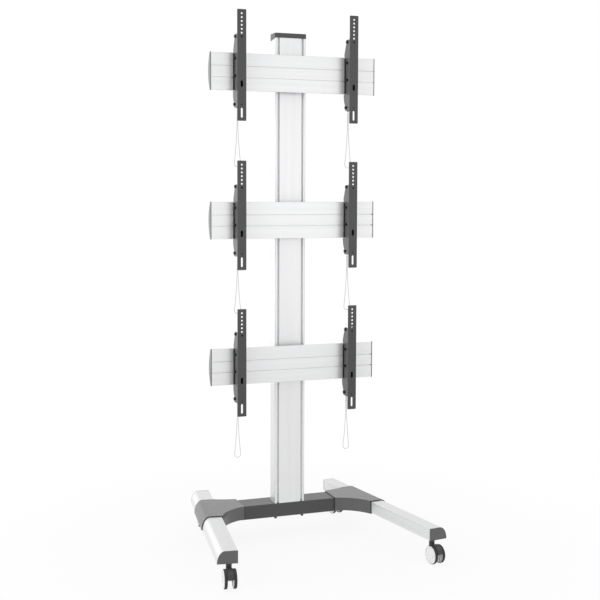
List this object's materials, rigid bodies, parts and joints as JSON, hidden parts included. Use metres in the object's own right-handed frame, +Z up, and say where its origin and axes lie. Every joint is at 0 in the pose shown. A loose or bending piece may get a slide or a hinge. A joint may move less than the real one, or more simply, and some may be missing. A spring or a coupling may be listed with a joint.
{
  "type": "video wall floor stand",
  "caption": "Free-standing video wall stand: slotted column on splayed legs with casters, cross rails with hooked, tilting display arms and latch pull cords.",
  "frame": {"origin": "middle of the footprint on the floor", "axes": "+X to the right along the rails, +Y away from the viewer toward the back, +Z up along the column"},
  "size_m": [0.9638, 0.9029, 2.2331],
  "materials": {
    "anodised_aluminium": "satin anodised",
    "grey_paint": "fine powder coat",
    "grey_plastic": "moulded, matt",
    "caster_plastic": "moulded, satin",
    "zinc_steel": "zinc plated",
    "cord_fabric": "braided"
  },
  "bodies": {
    "base": {"column": "anodised_aluminium", "column_cap": "grey_paint", "crossbeam": "grey_paint", "leg_left": "anodised_aluminium", "corner_cover_left": "grey_plastic", "leg_cap_front_left": "grey_plastic", "leg_cap_rear_left": "grey_plastic", "leg_right": "anodised_aluminium", "corner_cover_right": "grey_plastic", "leg_cap_front_right": "grey_plastic", "leg_cap_rear_right": "grey_plastic"},
    "caster_front_left": {"caster_yoke_front_left": "caster_plastic"},
    "wheels_front_left": {"caster_wheels_front_left": "caster_plastic"},
    "brake_front_left": {"brake_pedal_front_left": "grey_plastic"},
    "caster_rear_left": {"caster_yoke_rear_left": "caster_plastic"},
    "wheels_rear_left": {"caster_wheels_rear_left": "caster_plastic"},
    "brake_rear_left": {"brake_pedal_rear_left": "grey_plastic"},
    "caster_front_right": {"caster_yoke_front_right": "caster_plastic"},
    "wheels_front_right": {"caster_wheels_front_right": "caster_plastic"},
    "brake_front_right": {"brake_pedal_front_right": "grey_plastic"},
    "caster_rear_right": {"caster_yoke_rear_right": "caster_plastic"},
    "wheels_rear_right": {"caster_wheels_rear_right": "caster_plastic"},
    "brake_rear_right": {"brake_pedal_rear_right": "grey_plastic"},
    "rail_bottom": {"rail_bottom": "anodised_aluminium", "rail_cap_bottom_left": "grey_plastic", "rail_cap_bottom_right": "grey_plastic", "rail_clamp_bottom": "zinc_steel"},
    "bracket_bottom_left": {"hook_bracket_bottom_left": "grey_paint"},
    "arm_bottom_left": {"display_arm_bottom_left": "grey_paint"},
    "latch_bottom_left": {"latch_bottom_left": "zinc_steel", "pull_cord_bottom_left": "cord_fabric"},
    "bracket_bottom_right": {"hook_bracket_bottom_right": "grey_paint"},
    "arm_bottom_right": {"display_arm_bottom_right": "grey_paint"},
    "latch_bottom_right": {"latch_bottom_right": "zinc_steel", "pull_cord_bottom_right": "cord_fabric"},
    "rail_middle": {"rail_middle": "anodised_aluminium", "rail_cap_middle_left": "grey_plastic", "rail_cap_middle_right": "grey_plastic", "rail_clamp_middle": "zinc_steel"},
    "bracket_middle_left": {"hook_bracket_middle_left": "grey_paint"},
    "arm_middle_left": {"display_arm_middle_left": "grey_paint"},
    "latch_middle_left": {"latch_middle_left": "zinc_steel", "pull_cord_middle_left": "cord_fabric"},
    "bracket_middle_right": {"hook_bracket_middle_right": "grey_paint"},
    "arm_middle_right": {"display_arm_middle_right": "grey_paint"},
    "latch_middle_right": {"latch_middle_right": "zinc_steel", "pull_cord_middle_right": "cord_fabric"},
    "rail_top": {"rail_top": "anodised_aluminium", "rail_cap_top_left": "grey_plastic", "rail_cap_top_right": "grey_plastic", "rail_clamp_top": "zinc_steel"},
    "bracket_top_left": {"hook_bracket_top_left": "grey_paint"},
    "arm_top_left": {"display_arm_top_left": "grey_paint"},
    "latch_top_left": {"latch_top_left": "zinc_steel", "pull_cord_top_left": "cord_fabric"},
    "bracket_top_right": {"hook_bracket_top_right": "grey_paint"},
    "arm_top_right": {"display_arm_top_right": "grey_paint"},
    "latch_top_right": {"latch_top_right": "zinc_steel", "pull_cord_top_right": "cord_fabric"}
  },
  "joints": [
    {"name": "swivel_front_left", "type": "hinge", "parent": "base", "child": "caster_front_left", "pos_m": [-0.4283, -0.38658, 0.09], "axis": [0, 0, 1], "continuous": true},
    {"name": "roll_front_left", "type": "hinge", "parent": "caster_front_left", "child": "wheels_front_left", "pos_m": [-0.43185, -0.41133, 0.0375], "axis": [0.9899, -0.1419, 0], "continuous": true},
    {"name": "brake_front_left", "type": "hinge", "parent": "caster_front_left", "child": "brake_front_left", "pos_m": [-0.43378, -0.42475, 0.07106], "axis": [0.9899, -0.1419, 0], "range_deg": [0, 5]},
    {"name": "swivel_rear_left", "type": "hinge", "parent": "base", "child": "caster_rear_left", "pos_m": [-0.31383, 0.41175, 0.09], "axis": [0, 0, 1], "continuous": true},
    {"name": "roll_rear_left", "type": "hinge", "parent": "caster_rear_left", "child": "wheels_rear_left", "pos_m": [-0.31738, 0.38701, 0.0375], "axis": [0.9899, -0.1419, 0], "continuous": true},
    {"name": "brake_rear_left", "type": "hinge", "parent": "caster_rear_left", "child": "brake_rear_left", "pos_m": [-0.3193, 0.37358, 0.07106], "axis": [0.9899, -0.1419, 0], "range_deg": [0, 5]},
    {"name": "swivel_front_right", "type": "hinge", "parent": "base", "child": "caster_front_right", "pos_m": [0.4283, -0.38658, 0.09], "axis": [0, 0, 1], "continuous": true},
    {"name": "roll_front_right", "type": "hinge", "parent": "caster_front_right", "child": "wheels_front_right", "pos_m": [0.43185, -0.41133, 0.0375], "axis": [0.9899, 0.1419, 0], "continuous": true},
    {"name": "brake_front_right", "type": "hinge", "parent": "caster_front_right", "child": "brake_front_right", "pos_m": [0.43378, -0.42475, 0.07106], "axis": [0.9899, 0.1419, 0], "range_deg": [0, 5]},
    {"name": "swivel_rear_right", "type": "hinge", "parent": "base", "child": "caster_rear_right", "pos_m": [0.31383, 0.41175, 0.09], "axis": [0, 0, 1], "continuous": true},
    {"name": "roll_rear_right", "type": "hinge", "parent": "caster_rear_right", "child": "wheels_rear_right", "pos_m": [0.31738, 0.38701, 0.0375], "axis": [0.9899, 0.1419, 0], "continuous": true},
    {"name": "brake_rear_right", "type": "hinge", "parent": "caster_rear_right", "child": "brake_rear_right", "pos_m": [0.3193, 0.37358, 0.07106], "axis": [0.9899, 0.1419, 0], "range_deg": [0, 5]},
    {"name": "rail_height_bottom", "type": "slide", "parent": "base", "child": "rail_bottom", "axis": [0, 0, 1], "range_m": [-0.2, 0.06]},
    {"name": "arm_slide_bottom_left", "type": "slide", "parent": "rail_bottom", "child": "bracket_bottom_left", "axis": [1, 0, 0], "range_m": [-0.09, 0.215]},
    {"name": "tilt_bottom_left", "type": "hinge", "parent": "bracket_bottom_left", "child": "arm_bottom_left", "pos_m": [-0.247, 0.0594, 0.9035], "axis": [1, 0, 0], "range_deg": [0, 3]},
    {"name": "latch_pull_bottom_left", "type": "slide", "parent": "bracket_bottom_left", "child": "latch_bottom_left", "axis": [0, 0, 1], "range_m": [-0.0115, 0], "stiffness_N_per_m": 400, "springref_m": 0.008},
    {"name": "arm_slide_bottom_right", "type": "slide", "parent": "rail_bottom", "child": "bracket_bottom_right", "axis": [1, 0, 0], "range_m": [-0.215, 0.09]},
    {"name": "tilt_bottom_right", "type": "hinge", "parent": "bracket_bottom_right", "child": "arm_bottom_right", "pos_m": [0.247, 0.0594, 0.9035], "axis": [1, 0, 0], "range_deg": [0, 3]},
    {"name": "latch_pull_bottom_right", "type": "slide", "parent": "bracket_bottom_right", "child": "latch_bottom_right", "axis": [0, 0, 1], "range_m": [-0.0115, 0], "stiffness_N_per_m": 400, "springref_m": 0.008},
    {"name": "rail_height_middle", "type": "slide", "parent": "base", "child": "rail_middle", "axis": [0, 0, 1], "range_m": [-0.06, 0.06]},
    {"name": "arm_slide_middle_left", "type": "slide", "parent": "rail_middle", "child": "bracket_middle_left", "axis": [1, 0, 0], "range_m": [-0.09, 0.215]},
    {"name": "tilt_middle_left", "type": "hinge", "parent": "bracket_middle_left", "child": "arm_middle_left", "pos_m": [-0.247, 0.0594, 1.515], "axis": [1, 0, 0], "range_deg": [0, 3]},
    {"name": "latch_pull_middle_left", "type": "slide", "parent": "bracket_middle_left", "child": "latch_middle_left", "axis": [0, 0, 1], "range_m": [-0.0115, 0], "stiffness_N_per_m": 400, "springref_m": 0.008},
    {"name": "arm_slide_middle_right", "type": "slide", "parent": "rail_middle", "child": "bracket_middle_right", "axis": [1, 0, 0], "range_m": [-0.215, 0.09]},
    {"name": "tilt_middle_right", "type": "hinge", "parent": "bracket_middle_right", "child": "arm_middle_right", "pos_m": [0.247, 0.0594, 1.515], "axis": [1, 0, 0], "range_deg": [0, 3]},
    {"name": "latch_pull_middle_right", "type": "slide", "parent": "bracket_middle_right", "child": "latch_middle_right", "axis": [0, 0, 1], "range_m": [-0.0115, 0], "stiffness_N_per_m": 400, "springref_m": 0.008},
    {"name": "rail_height_top", "type": "slide", "parent": "base", "child": "rail_top", "axis": [0, 0, 1], "range_m": [-0.06, 0.09]},
    {"name": "arm_slide_top_left", "type": "slide", "parent": "rail_top", "child": "bracket_top_left", "axis": [1, 0, 0], "range_m": [-0.09, 0.215]},
    {"name": "tilt_top_left", "type": "hinge", "parent": "bracket_top_left", "child": "arm_top_left", "pos_m": [-0.247, 0.0594, 2.1265], "axis": [1, 0, 0], "range_deg": [0, 3]},
    {"name": "latch_pull_top_left", "type": "slide", "parent": "bracket_top_left", "child": "latch_top_left", "axis": [0, 0, 1], "range_m": [-0.0115, 0], "stiffness_N_per_m": 400, "springref_m": 0.008},
    {"name": "arm_slide_top_right", "type": "slide", "parent": "rail_top", "child": "bracket_top_right", "axis": [1, 0, 0], "range_m": [-0.215, 0.09]},
    {"name": "tilt_top_right", "type": "hinge", "parent": "bracket_top_right", "child": "arm_top_right", "pos_m": [0.247, 0.0594, 2.1265], "axis": [1, 0, 0], "range_deg": [0, 3]},
    {"name": "latch_pull_top_right", "type": "slide", "parent": "bracket_top_right", "child": "latch_top_right", "axis": [0, 0, 1], "range_m": [-0.0115, 0], "stiffness_N_per_m": 400, "springref_m": 0.008}
  ]
}
